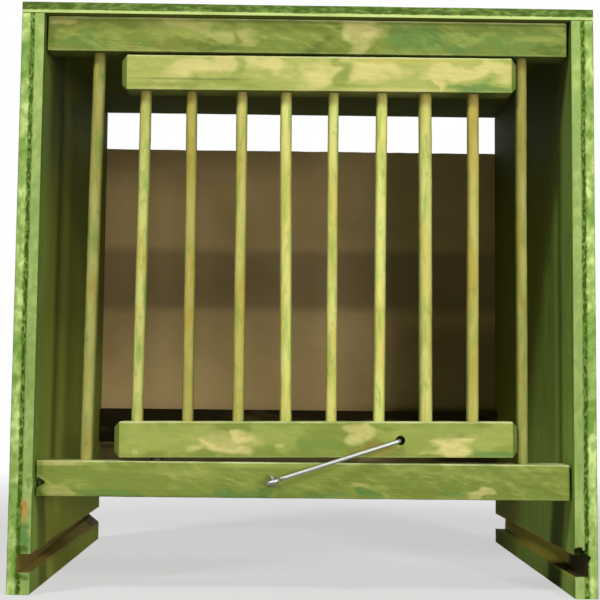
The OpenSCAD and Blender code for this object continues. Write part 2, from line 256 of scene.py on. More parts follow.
class NestBoxSizes(bpy.types.PropertyGroup):
    """Sizes of the hand-made detail on the boards, dowels and wire."""

    board_round: size("Board edges", "Rounding of the boards' sawn edges", 0.0007)
    rail_round: size("Rail edges", "Rounding of the rails' planed edges", 0.0009)
    board_wave: size("Board wave", "Unevenness of the boards' faces", 0.00025)
    door_round: size("Door rail edges", "Rounding of the door's rails", 0.0006)
    rail_wave: size("Rail wave", "Unevenness of the rails' faces", 0.0004)
    dowel_bow: size("Dowel bow", "How far a dowel strays from straight", 0.0005)
    core_width: size("Core width", "Width of the torn channel along the plywood's core", 0.0015)
    core_depth: size("Core depth", "Depth of that channel", 0.0005)
    core_tear: size("Core tear", "Raggedness of that channel", 0.00036)
    groove_tear: size("Groove tear", "Raggedness of the tray grooves", 0.0002)
    end_chamfer: size("Door rail chamfer", "Chamfer on the ends of the door's rails", 0.004)
    wire_radius: size("Hook wire", "Radius of the hook's wire", 0.0015)
    eye_radius: size("Eye wire", "Radius of the screw eye's wire", 0.0011)


class NestBoxColours(bpy.types.PropertyGroup):
    """Colours of the stain, the bare wood and the metal."""

    ply_light: colour("Plywood edge", "Stained outer plies on a cut edge", 180, 206, 118)
    ply_glow: colour("Plywood edge glow", "Where those plies stayed almost bare", 214, 234, 144)
    ply_mid: colour("Plywood edge shade", "Where those plies took more stain", 124, 158, 70)
    # Also painted shade along the outer arris of a cut edge
    ply_core: colour("Plywood core", "Stained core ply on a cut edge", 90, 126, 34)
    ply_void: colour("Plywood voids", "Gaps and torn fibres in the core", 62, 94, 14)
    # Also painted shade along the inner faces' front edge
    ply_face: colour("Plywood face", "Stained face of the plywood", 126, 150, 67)
    ply_face_deep: colour("Plywood face shade", "Where the face took more stain", 90, 112, 48)
    ply_inside: colour("Plywood inside", "Inner faces of the sides", 134, 137, 53)
    rail_green: colour("Rail green", "Main tone of the frame's rails", 136, 150, 66)
    rail_pale: colour("Rail pale green", "Thin stain on the rails", 176, 184, 94)
    moss: colour("Moss green", "Cool green patches in the stain", 98, 140, 72)
    cream: colour("Cream", "Places that the stain barely tinted", 228, 216, 138)
    # Also painted shade on the dowels' sides and the rails' end facets
    shadow_green: colour("Deep green", "Stain that pooled and dried dark", 84, 106, 42)
    bar_lemon: colour("Dowel yellow-green", "Main tone of the dowels", 226, 224, 131)
    bar_ochre: colour("Dowel ochre", "Warm tone of the dowels", 208, 186, 86)
    bar_leaf: colour("Dowel green", "Green patches on the dowels", 150, 186, 84)
    # Also painted highlight on the rails' upper edges and painted light on their top faces
    worn: colour("Worn edge", "Stain rubbed thin along the rails' edges", 216, 222, 158)
    # Also painted shade under the top rail on the dowels, and the painted shadow of the hook on the door
    bare_wood_and_shade: colour("Bare wood", "Wood that the cutter left without stain", 152, 130, 68)
    # Painted shade, with torn wood, in the mouths of the grooves
    char: colour("Torn mouth", "Black torn wood at the mouth of the right groove", 26, 26, 12)
    chipped_wood: colour("Chipped wood", "Fresh wood in a chip", 206, 158, 88)
    hardboard: colour("Hardboard", "Smooth face of the back", 206, 177, 122)
    hardboard_deep: colour("Hardboard shade", "Darker fibres of the back", 166, 138, 88)
    batten_dark: colour("Batten", "Dark batten inside the back's foot", 44, 36, 14)
    zinc: colour("Zinc", "Bright zinc on the hook", 178, 182, 175)
    zinc_dull: colour("Dull zinc", "Where the zinc has gone dull", 112, 117, 100)
    steel: colour("Steel", "Screws, nails and the eye", 170, 168, 160)
    steel_stain: colour("Steel stain", "Tarnish on the screws and nails", 98, 88, 74)
    floor: colour("Floor", "The pale floor", 214, 214, 212)


class NestBoxLight(bpy.types.PropertyGroup):
    """Strength of the studio lamps."""

    key_power: power("Key lamp", "Lamp above and to the left", 27.0)
    front_power: power("Front lamp", "Lamp in front, to the right and above", 14.0)
    low_power: power("Low lamp", "Lamp in front, to the right and at the box's own height", 14.5)
    sky: FloatProperty(
        name="Room light", description="Strength of the light from all round", default=0.06, min=0.0, max=2.0
    )


# Modelling, as by hand

# Most cuts that one call of subdivide makes well
MOST_CUTS = 98


def halfway(low, high):
    return tuple((a + b) / 2 for a, b in zip(low, high))


def joint_named(name):
    return next(joint for joint in frame["joints"] if joint["name"] == name)


def deselect():
    if bpy.context.object is not None and bpy.context.object.mode != "OBJECT":
        bpy.ops.object.mode_set(mode="OBJECT")
    bpy.ops.object.select_all(action="DESELECT")


def take_up(piece):
    deselect()
    piece.select_set(True)
    bpy.context.view_layer.objects.active = piece


def settle(name):
    """Names the new object and puts its place into its mesh."""
    piece = bpy.context.object
    piece.name = name
    piece.data.name = name
    bpy.ops.object.transform_apply(location=True, rotation=True, scale=True)
    return piece


def block(name, low, high):
    deselect()
    spans = [b - a for a, b in zip(low, high)]
    bpy.ops.mesh.primitive_cube_add(size=1, location=halfway(low, high), scale=spans)
    return settle(name)


def rod(name, foot, top, radius, corners=20):
    """A round rod between two points."""
    deselect()
    run = Vector(top) - Vector(foot)
    bpy.ops.mesh.primitive_cylinder_add(
        vertices=corners, radius=radius, depth=run.length,
        location=(Vector(top) + Vector(foot)) / 2, rotation=run.to_track_quat("Z", "Y").to_euler(),
    )
    return settle(name)


def sink(face, run):
    """Cutter for a screw's countersunk head; face is a point on the wood, run the way the screw goes."""
    face, run = Vector(face), Vector(run)
    return rod("sink", face - run * PROUD / 2, face + run * SINK_DEPTH, SINK_RADIUS, 28)


def pick(piece, kind, test=lambda part: True):
    """Enters edit mode and selects the vertices, edges or faces that pass the test."""
    take_up(piece)
    bpy.ops.object.mode_set(mode="EDIT")
    bpy.ops.mesh.select_mode(type=kind)
    bpy.ops.mesh.select_all(action="DESELECT")
    mesh = bmesh.from_edit_mesh(piece.data)
    parts = {"VERT": mesh.verts, "EDGE": mesh.edges, "FACE": mesh.faces}[kind]
    for part in parts:
        part.select_set(bool(test(part)))
    mesh.select_flush_mode()
    bmesh.update_edit_mesh(piece.data)


def leave():
    bpy.ops.object.mode_set(mode="OBJECT")


def cut_across(piece, *cuts):
    """Cuts a block into even lengths; each cut is an axis and about how long the lengths are."""

    def along(edge):
        """True of a long edge that runs straight along the axis."""
        span = edge.verts[1].co - edge.verts[0].co
        return abs(span[axis]) > 0.6 * longest and span.length - abs(span[axis]) < 1e-7

    for axis, step in cuts:
        places = [corner.co[axis] for corner in piece.data.vertices]
        longest = max(abs(places[a] - places[b]) for a, b in (edge.vertices for edge in piece.data.edges))
        count = round(longest / step) - 1
        if count > 0:
            pick(piece, "EDGE", along)
            bpy.ops.mesh.subdivide(number_cuts=min(count, MOST_CUTS))
            leave()


def tear(piece, amount, seed, test=lambda vertex: True):
    """Moves the chosen vertices at random."""
    pick(piece, "VERT", test)
    bpy.ops.transform.vertex_random(offset=amount, uniform=1.0, normal=0.0, seed=seed)
    leave()


def apply(piece, kind, **settings):
    take_up(piece)
    modifier = piece.modifiers.new(kind.lower(), kind)
    for key, value in settings.items():
        setattr(modifier, key, value)
    bpy.ops.object.modifier_apply(modifier=modifier.name)


def round_edges(piece, width, angle=35, segments=2):
    limit = math.radians(angle)
    apply(piece, "BEVEL", width=width, segments=segments, limit_method="ANGLE", angle_limit=limit)


def wave(piece, amount, length, way="NORMAL", level=1.0):
    """Presses the surface in by up to amount, in soft waves of about length."""
    clouds = bpy.data.textures.new(f"{piece.name}_wave", "CLOUDS")
    clouds.noise_scale = length
    clouds.noise_depth = 1
    settings = {"direction": way, "mid_level": level, "strength": amount, "texture_coords": "LOCAL"}
    apply(piece, "DISPLACE", texture=clouds, **settings)


def take_away(piece, cutter):
    """Cuts the cutter out of the piece, and stops the script where the cut would eat the whole piece."""
    take_up(piece)
    modifier = piece.modifiers.new("cut", "BOOLEAN")
    modifier.object = cutter
    modifier.solver = "EXACT"
    for crossing in (False, True):
        modifier.use_self = crossing
        seen = piece.evaluated_get(bpy.context.evaluated_depsgraph_get())
        if len(seen.data.polygons) > len(piece.data.polygons) / 2:
            break
    else:
        raise RuntimeError(f"{cutter.name} could not be cut out of {piece.name}")
    bpy.ops.object.modifier_apply(modifier="cut")
    bpy.data.objects.remove(cutter)


def face_out(piece):
    take_up(piece)
    bpy.ops.object.mode_set(mode="EDIT")
    bpy.ops.mesh.select_all(action="SELECT")
    bpy.ops.mesh.remove_doubles(threshold=1e-6)
    bpy.ops.mesh.normals_make_consistent(inside=False)
    leave()


def smooth(piece, angle=32):
    take_up(piece)
    bpy.ops.object.shade_smooth_by_angle(angle=math.radians(angle))


def copy_of(piece, name, shift, turn, lean, girth, about):
    """A copy with its own mesh, turned about an upright line, made thicker, leant sideways and moved."""
    take_up(piece)
    bpy.ops.object.duplicate(linked=False)
    bpy.ops.object.mode_set(mode="EDIT")
    bpy.ops.mesh.select_all(action="SELECT")
    bpy.ops.transform.rotate(value=turn, orient_axis="Z", center_override=about)
    bpy.ops.transform.resize(value=(girth, girth, 1), center_override=about)
    bpy.ops.transform.rotate(value=lean, orient_axis="Y", center_override=about)
    bpy.ops.transform.translate(value=shift)
    leave()
    return settle(name)


def wire(name, points, radius, taper):
    """A round wire through the points, closed at both ends; taper is its girth at each point."""
    deselect()
    bpy.ops.curve.primitive_nurbs_path_add(location=(0, 0, 0))
    shape = bpy.context.object.data
    shape.splines.clear()
    spline = shape.splines.new("POLY")
    spline.points.add(len(points) - 1)
    for point, place, girth in zip(spline.points, points, taper):
        point.co = (*place, 1)
        point.radius = girth
    shape.dimensions = "3D"
    shape.twist_mode = "MINIMUM"
    shape.bevel_depth = radius
    shape.bevel_resolution = 4
    shape.use_fill_caps = True
    bpy.ops.object.convert(target="MESH")
    piece = settle(name)
    face_out(piece)
    smooth(piece, 40)
    return piece


def finish_piece(piece, body, material, node):
    piece.data.materials.clear()
    piece.data.materials.append(material)
    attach(piece, body)
    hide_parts(node)


# Finishes


class Tone:
    """A value in a material. Arithmetic on it adds Math nodes."""

    def __init__(self, nodes, socket):
        self.nodes = nodes
        self.socket = socket

    def math(self, operation, *values):
        made = self.nodes.node("ShaderNodeMath", {"operation": operation}, dict(enumerate(values)))
        return Tone(self.nodes, made.outputs[0])

    def __add__(self, other):
        return self.math("ADD", self, other)

    def __radd__(self, other):
        return self.math("ADD", other, self)

    def __sub__(self, other):
        return self.math("SUBTRACT", self, other)

    def __rsub__(self, other):
        return self.math("SUBTRACT", other, self)

    def __mul__(self, other):
        return self.math("MULTIPLY", self, other)

    def __rmul__(self, other):
        return self.math("MULTIPLY", other, self)

    def __abs__(self):
        return self.math("ABSOLUTE", self)

    def most(self, other):
        return self.math("MAXIMUM", self, other)

    def least(self, other):
        return self.math("MINIMUM", self, other)

    def ramp(self, low, high):
        """0 at low and 1 at high, with soft ends; low may be the larger."""
        limits = {0: self, 1: low, 2: high, 3: 0.0, 4: 1.0}
        made = self.nodes.node("ShaderNodeMapRange", {"interpolation_type": "SMOOTHSTEP"}, limits)
        return Tone(self.nodes, made.outputs[0])

    def band(self, low, high, soft):
        """1 between low and high, with soft ends."""
        return self.ramp(low - soft, low + soft) * self.ramp(high + soft, high - soft)


class Nodes:
    """The nodes of a material or of the world."""

    def __init__(self, owner):
        owner.use_nodes = True
        self.tree = owner.node_tree
        self.tree.nodes.clear()

    def node(self, kind, settings=None, inputs=None):
        made = self.tree.nodes.new(kind)
        for key, value in (settings or {}).items():
            setattr(made, key, value)
        for key, value in (inputs or {}).items():
            self.feed(made.inputs[key], value)
        return made

    def feed(self, socket, value):
        if isinstance(value, Tone):
            value = value.socket
        if isinstance(value, bpy.types.NodeSocket):
            self.tree.links.new(value, socket)
        elif socket.type == "RGBA":
            socket.default_value = (*value[:3], 1.0)
        else:
            socket.default_value = value


class Finish(Nodes):
    """A material whose pattern is fixed to the piece. Its tint is built up coat by coat."""

    def __init__(self, name, tint, roughness=0.7, metallic=0.0, shine=0.08):
        self.material = bpy.data.materials.new(name)
        super().__init__(self.material)
        self.tint = tint
        constants = {"Roughness": roughness, "Metallic": metallic, "Specular IOR Level": shine}
        self.shader = self.node("ShaderNodeBsdfPrincipled", {}, constants)
        self.end = self.node("ShaderNodeOutputMaterial", {}, {"Surface": self.shader.outputs[0]})
        spot = self.node("ShaderNodeTexCoord")
        self.place = spot.outputs["Object"]
        self.x, self.y, self.z = self.parts(self.place)
        self.nx, self.ny, self.nz = self.parts(spot.outputs["Normal"])

    def parts(self, vector):
        made = self.node("ShaderNodeSeparateXYZ", {}, {0: vector})
        return [Tone(self, output) for output in made.outputs]

    def vector(self, operation, *values):
        made = self.node("ShaderNodeVectorMath", {"operation": operation}, dict(enumerate(values)))
        return made.outputs["Value" if operation == "LENGTH" else "Vector"]

    def spots(self, grain, turn=(0, 0, 0), shift=(0, 0, 0), detail=2.0, rough=0.5, warp=0.0):
        """A noise node. Grain is the size of its spots along each axis, in metres."""
        moved = {"Vector": self.place, "Location": shift, "Rotation": turn, "Scale": grain}
        laid = self.node("ShaderNodeMapping", {"vector_type": "TEXTURE"}, moved)
        look = {"Scale": 1.0, "Detail": detail, "Roughness": rough, "Distortion": warp}
        return self.node("ShaderNodeTexNoise", {}, {"Vector": laid.outputs[0], **look})

    def noise(self, *grain, **settings):
        """Soft random tone from 0 to 1; one number for the grain is that along all axes."""
        return Tone(self, self.spots(grain if len(grain) > 1 else grain * 3, **settings).outputs[0])

    def stir(self, grain, reach):
        """The places on the piece, bent so that outlines laid on them wander by up to reach."""
        push = self.vector("SUBTRACT", self.spots(grain, detail=1.0).outputs[1], (0.5, 0.5, 0.5))
        return self.vector("MULTIPLY_ADD", push, [r * 4 for r in reach], self.place)

    def patch(self, middle, reach, ragged, edge=0.95, bite=4.0, places=None):
        """1 inside a squarish spot whose rim is broken by the ragged tone."""
        offset = self.vector("SUBTRACT", self.place if places is None else places, middle)
        scaled = self.vector("MULTIPLY", offset, [1 / r for r in reach])
        away = Tone(self, self.vector("LENGTH", self.vector("MULTIPLY", scaled, scaled)))
        return (away + (ragged - 0.5) * bite).ramp(1 + edge, 1 - edge)

    def blend(self, first, second, share):
        return self.node("ShaderNodeMix", {"data_type": "RGBA"}, {0: share, 6: first, 7: second}).outputs[2]

    def shade(self, tint, amount):
        return self.node("ShaderNodeVectorMath", {"operation": "SCALE"}, {0: tint, 3: amount}).outputs[0]

    def coat(self, stain, share):
        self.tint = self.blend(self.tint, stain, share)

    def dim(self, amount):
        self.tint = self.shade(self.tint, amount)

    def between(self, first, second, share):
        made = self.node("ShaderNodeMix", {"data_type": "FLOAT"}, {0: share, 2: first, 3: second})
        return Tone(self, made.outputs[0])

    def done(self, roughness, height, depth, metallic=None):
        """Feeds the shader; depth is how far the height stands proud, in metres."""
        bump = self.node("ShaderNodeBump", {}, {"Strength": 1.0, "Distance": depth, "Height": height})
        inputs = {"Base Color": self.tint, "Roughness": roughness, "Normal": bump.outputs[0]}
        if metallic is not None:
            inputs["Metallic"] = metallic
        for name, value in inputs.items():
            self.feed(self.shader.inputs[name], value)
        return self.material


def times(grain, factor):
    return [g * factor for g in grain]


def ply_edge(finish, tints, depth, thick, grain):
    """Lays the tint of a cut plywood edge, light plies about a torn core, and gives its height."""
    fray = finish.noise(*grain, detail=3.0, rough=0.6)
    bead = finish.noise(*times(grain, 1.1), shift=(0.3, 0.1, 0.2), detail=1.0)
    blot = finish.noise(*times(grain, 2.2), shift=(0.1, 0.5, 0.9))
    cloud = finish.noise(*times(grain, 8), shift=(0.7, 0.2, 0.4))
    layer = depth + (fray - 0.5) * (thick * 0.07) + (blot - 0.5) * (thick * 0.12)
    outer_ply = depth.ramp(thick * 0.5, thick * 0.4)
    mottle = (cloud.ramp(0.4, 0.68) * 0.7 + blot.ramp(0.46, 0.66) * 0.55) * (0.4 + 0.6 * outer_ply)
    finish.coat(tints.ply_mid, mottle)
    finish.coat(tints.ply_glow, blot.ramp(0.52, 0.36) * cloud.ramp(0.62, 0.4) * (0.35 + 0.65 * outer_ply))
    core = layer.band(thick * 0.375, thick * 0.585, thick * 0.05)
    finish.coat(tints.ply_core, core * (0.65 + 0.35 * bead.ramp(0.4, 0.54)))
    voids = layer.band(thick * 0.42, thick * 0.55, thick * 0.04) * bead.ramp(0.47, 0.6)
    finish.coat(tints.ply_void, voids * 0.65)
    # Painted shade along the rounded outer arris of a cut edge
    painted_arris_shade = depth.ramp(thick * 0.08, thick * 0.01) * fray.ramp(0.25, 0.5)
    finish.coat(tints.ply_core, painted_arris_shade * 0.75)
    return fray * 0.6 - voids * 1.2


def ply_face(finish, tints, grain, inside):
    """Lays the tint of a stained plywood face and gives its height."""
    broad = finish.noise(*(0.05 + g for g in grain), detail=3.0, warp=0.4)
    brush = finish.noise(*times(grain, 3.5), shift=(0.6, 0.3, 0.8), detail=3.0, warp=0.5)
    streak = finish.noise(*grain, detail=4.0, rough=0.6)
    pore = finish.noise(*times(grain, 0.22), shift=(0.2, 0.4, 0.1))
    finish.tint = finish.blend(tints.ply_face, tints.ply_face_deep, broad + 0.8 * brush - 0.4)
    finish.coat(tints.ply_inside, inside * (1.0 - 0.4 * broad))
    finish.dim(0.92 + 0.16 * streak)
    finish.dim(0.93 + 0.14 * pore)
    return streak * 0.7 + pore * 0.5


def painted_wall_light(finish, front, right, near):
    """Painted light and shade on a side's inner face: how much lighter or darker it is from place to place.
    """
    y, z, left = finish.y, finish.z, 1 - right
    # Painted shade, darker toward the top, and painted light near the front edge
    pooled = 0.36 - 0.50 * z.ramp(0.04, 0.20) - 0.25 * z.ramp(0.22, 0.35)
    pooled = pooled + near * (0.18 + 0.30 * right) - 0.24 * right * z.ramp(0.10, 0.05)
    pooled = pooled - (0.25 * right - 0.2 * left) * z.ramp(0.30, 0.37)
    high_left = left * z.band(0.185, 0.5, 0.02)
    pooled = pooled - 0.16 * high_left * y.ramp(front + 0.020, front + 0.040)
    pooled = pooled - 0.30 * high_left * z.ramp(0.28, 0.35) * y.band(front + 0.030, front + 0.080, 0.012)
    # Painted shadow of the bottom rail, below its ends
    lean = y + 0.25 * z
    painted_rail_shadow = lean.band(front + 0.044, front + 0.082, 0.006) * right
    painted_rail_shadow = painted_rail_shadow + lean.band(front + 0.032, front + 0.060, 0.006) * 0.8 * left
    return pooled - painted_rail_shadow * z.ramp(0.068, 0.062) * 1.05


def side_finish(tints):
    """Stained plywood side: light layered edges, darker faces and a bare tray groove."""
    finish = Finish("stained_ply_side", tints.ply_light)
    x, y, z = finish.x, finish.y, finish.z
    low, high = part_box("left_side_panel")
    front, back, thick = low[1], high[1], high[0] - low[0]
    depth = -low[0] - abs(x)
    right = x.ramp(-0.01, 0.01)
    ragged = finish.noise(0.006, shift=(0.5, 0.5, 0.5), detail=3.0)

    edge_height = ply_edge(finish, tints, depth, thick, (0.0022, 0.0022, 0.0034))
    finish.dim(1.04 - depth.ramp(0.0078, 0.0088) * (0.12 + 0.14 * z.ramp(0.38, 0.27)))
    edge_tint = finish.tint

    # The green stain ends at a slanting line drawn along the shadow of the top rails, so near the front it is
    # partly stain and partly painted light
    near = (y + 0.49 * z + 0.035 * (1 - right) + (ragged - 0.5) * 0.008).ramp(0.085, 0.035)
    strip = y.ramp(front + 0.050, front + 0.012)
    inward = depth.ramp(0.008, 0.0155)
    inside = inward * (1 - strip.most(near * right) * 0.9)
    face_height = ply_face(finish, tints, (0.0022, 0.0022, 0.03), inside)
    rim = y.band(front + 0.008, front + 0.013, 0.002) * ragged.ramp(0.60, 0.68)
    finish.coat(tints.ply_void, rim * inward * 0.7)
    # Painted shade in the recess in front of the rails, along the inner faces' front edge
    finish.coat(tints.ply_void, y.ramp(front + 0.0085, front + 0.0045) * inward * 0.35)
    # Painted light and shade on the inner faces
    finish.dim(1 + painted_wall_light(finish, front, right, near) * inward)
    face = abs(finish.nx).ramp(0.55, 0.9)
    finish.tint = finish.blend(edge_tint, finish.tint, face)

    in_groove = depth.ramp(0.0055, 0.0068) * (1 - abs(finish.ny).ramp(0.6, 0.9))
    bare_groove(finish, tints, right, ragged, in_groove * (1 - depth.ramp(thick - 0.0003, thick) * face))
    edge_marks(finish, tints, front, ragged)
    lay_dark_mouths(finish, tints, front, back, depth, ragged)
    return finish.done(0.62 + 0.2 * ragged, finish.between(edge_height, face_height, face), 0.0006)


def bare_groove(finish, tints, right, ragged, reach):
    """Lays the bare wood that the cutter left in the tray groove."""
    lowest, highest = GROOVE_LEVELS
    groove = (finish.z + (ragged - 0.5) * 0.0012).band(lowest - 0.0002, highest + 0.0002, 0.0003)
    fibre = finish.noise(0.0012, 0.02, 0.0012, detail=4.0, rough=0.65)
    bare = finish.blend(tints.bare_wood_and_shade, tints.ply_inside, (ragged.ramp(0.48, 0.66) + 0.4 * right).least(1.0))
    finish.coat(finish.shade(bare, (0.62 + 0.7 * fibre) * (0.95 + 1.05 * right)), groove * reach)


def edge_marks(finish, tints, front, ragged):
    """Lays the marks on the left side's front edge: pooled stain, a frayed groove and a fresh chip."""
    chip_x, chip_z = CHIPS["left_side_panel"][0][:2]
    pool = finish.patch((-0.1885, front, 0.0385), (0.0034, 0.004, 0.0085), ragged)
    finish.coat(tints.moss, pool * 0.85)
    frayed = finish.patch((-0.1900, front, 0.0300), (0.0036, 0.004, 0.0030), ragged)
    frayed = frayed.most(finish.patch((-0.1895, front, 0.0120), (0.0042, 0.004, 0.0020), ragged))
    finish.coat(tints.ply_void, frayed * 0.8)
    chip = finish.patch((chip_x, front, chip_z), (0.0022, 0.004, 0.0066), ragged)
    finish.coat(tints.chipped_wood, chip * 0.9)


def lay_dark_mouths(finish, tints, front, back, depth, ragged):
    """Lays black in the right groove's mouth, painted shade where the groove runs unlit into the side, with
    torn wood, and in the corner at the left one's back end, partly torn wood and partly painted shade.
    """
    x, y, z = finish.x, finish.y, finish.z
    end = y + (ragged - 0.5) * 0.02 + z.ramp(0.0165, 0.0155) * -0.016
    mouth = z.band(0.0140, 0.0368, 0.0004) * x.ramp(0, 0.01)
    mouth = mouth * y.ramp(front + 0.0002, front + 0.0007) * end.ramp(front + 0.062, front + 0.048)
    corner = finish.patch((-0.1885, back - 0.012, 0.0190), (0.0068, 0.026, 0.0066), ragged, edge=0.3)
    torn = mouth.most(corner * 0.75) * depth.ramp(0.01572, 0.0155) * depth.ramp(0.0042, 0.0052)
    finish.coat(tints.char, torn * 0.92)


def top_finish(tints):
    """Stained plywood top, with thinner plies on its edge."""
    finish = Finish("stained_ply_top", tints.ply_glow)
    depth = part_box("top_panel")[1][2] - finish.z
    fray = finish.noise(0.004, 0.004, 0.0012, detail=3.0, rough=0.6)
    pits = finish.noise(0.007, 0.007, 0.0024, shift=(0.2, 0.6, 0.1), detail=3.0, rough=0.55)
    upper = (depth + (fray - 0.5) * 0.0016).ramp(0.0061, 0.0054)
    finish.coat(tints.ply_light, finish.noise(0.03, 0.03, 0.004).ramp(0.4, 0.7) * 0.7)
    deep = finish.blend(tints.ply_face_deep, tints.ply_mid, pits.ramp(0.52, 0.34) * 0.9)
    deep = finish.blend(deep, tints.ply_void, pits.ramp(0.5, 0.68) * 0.7)
    edge_tint = finish.blend(finish.tint, deep, upper)
    face_height = ply_face(finish, tints, (0.03, 0.0022, 0.0022), depth.ramp(0.006, 0.0078))
    # Painted shade on the underside
    finish.dim(1 - 0.5 * finish.nz.ramp(-0.5, -0.9))
    face = abs(finish.nz).ramp(0.55, 0.9)
    finish.tint = finish.blend(edge_tint, finish.tint, face)
    height = finish.between(fray * 0.4 - pits * upper, face_height, face)
    return finish.done(0.62 + 0.2 * fray, height, 0.0006)


def rail_finish(node, tints):
    """Stained softwood rail: brushed green over yellow wood, with placed patches, worn edges partly painted
    as highlight, and painted shade underneath.
    """
    _, name, main, thin, seed, slope, busy, light = RAILS[node]
    finish = Finish(name, getattr(tints, main))
    low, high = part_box(node)
    shift = times((0.37, 0.11, 0.23), seed)
    broad = finish.noise(0.040, 0.03, 0.012, turn=(0, 0.3, 0), shift=shift, detail=3.0, warp=0.8)
    stroke = {"turn": (0, 0.45 - slope, 0), "shift": shift}
    brush = finish.noise(0.026, 0.02, 0.0044, **stroke, detail=3.0, rough=0.6, warp=0.6)
    streak = finish.noise(0.05, 0.0016, 0.0016, turn=(0, 0.02, 0), shift=shift, detail=4.0, rough=0.62)
    fleck = finish.noise(0.006, 0.004, 0.0026, shift=shift, detail=3.0, rough=0.6)
    torn = brush * 0.5 + fleck * 0.3 + streak * 0.2
    finish.coat(getattr(tints, thin), (broad.ramp(0.42, 0.68) * torn.ramp(0.38, 0.6)) * (0.75 * busy))
    finish.coat(tints.moss, (brush.ramp(0.52, 0.74) * broad.ramp(0.62, 0.38)) * (0.55 * busy))
    lay_patches(finish, node, tints, torn, 1 - fleck.ramp(0.42, 0.66) * (0.3 * busy))
    finish.dim(light * (1 - 0.2 * busy) + (0.4 * busy) * brush)
    finish.dim(0.88 + 0.24 * streak)
    finish.coat(tints.cream, fleck.ramp(0.66, 0.78) * 0.3)
    # Stain is rubbed thin along the long edges, with painted highlight mostly on the upper edge, and the top
    # faces are lighter as painted light
    mid_x, mid_y, mid_z = halfway(low, high)
    level = finish.z - (finish.x - mid_x) * RAIL_RISE.get(node, 0.0) - mid_z
    rim_y = (high[1] - low[1]) / 2 - abs(finish.y - mid_y)
    rim_z = (high[2] - low[2]) / 2 - abs(level)
    rim = (rim_y + rim_z + (fleck - 0.5) * 0.0012).ramp(0.0019, 0.0009)
    rim = rim * (0.2 + 0.8 * level.ramp(-0.002, 0.002))
    crown = finish.nz.ramp(0.4, 0.8) * 0.7
    finish.coat(tints.worn, rim.most(crown) * (0.35 + 0.6 * broad.ramp(0.35, 0.6)))
    # End grain took more stain, with painted shade on the end facets as well, and the undersides are darker
    # as painted shade
    finish.coat(tints.shadow_green, abs(finish.nx).ramp(0.35, 0.62) * 0.7)
    finish.dim(1 - 0.62 * finish.nz.ramp(-0.5, -0.9))
    return finish.done(0.6 + 0.25 * streak, streak * 0.5 + brush * 0.25 + fleck * 0.2, 0.00045)


def lay_patches(finish, node, tints, torn, specks):
    """Lays a rail's patches. Their outlines wander, but for those of the thin ones."""
    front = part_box(node)[0][1]
    bent = finish.stir((0.016, 0.016, 0.009), (0.009, 0.0, 0.005))
    # Share of each patch that wear has left
    left = 0.93
    for stain, along, height, wide, tall, strength in PATCHES[node]:
        middle = (along / 1000, front, height / 1000)
        reach = (wide / 1000, 0.014, tall / 1000)
        spot = finish.patch(middle, reach, torn, bite=1.7, places=bent if tall > 2 else None)
        finish.coat(getattr(tints, stain), spot * specks * (strength / 100 * left))


def bar_finish(node, tints, warmth, light, seed):
    """Stained dowel, from yellow-green to ochre, browner where it enters the rail above, partly as painted
    shade, and with painted shade along its sides.
    """
    finish = Finish("stain_" + node, tints.bar_lemon)
    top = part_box(node)[1][2]
    shift = times((0.31, 0.17, 0.29), seed)
    along = finish.noise(0.012, 0.012, 0.055, shift=shift, detail=3.0, warp=0.5)
    side = finish.noise(0.005, 0.005, 0.03, shift=shift, detail=3.0, rough=0.55)
    streak = finish.noise(0.0008, 0.0008, 0.025, shift=shift, detail=3.0, rough=0.6)
    speck = finish.noise(0.0040, 0.0040, 0.0085, shift=shift)
    finish.coat(tints.bar_ochre, (along.ramp(0.35, 0.65) * 0.6 + warmth).least(1.0))
    finish.coat(tints.bar_leaf, side.ramp(0.44, 0.74) * (0.8 - 0.5 * warmth))
    finish.coat(tints.moss, speck.ramp(0.54, 0.82) * 0.4)
    # Browner near the top: bare wood, and painted shade under the rail
    finish.coat(tints.bare_wood_and_shade, finish.z.ramp(top - 0.0235, top - 0.0165) * 0.65)
    # Painted shade along both sides of the dowel
    finish.coat(tints.shadow_green, abs(finish.nx).ramp(0.62, 0.98) * 0.6)
    finish.dim((0.84 + 0.32 * streak) * light)
    return finish.done(0.55 + 0.25 * streak, streak * 0.6 + side * 0.3, 0.0002)


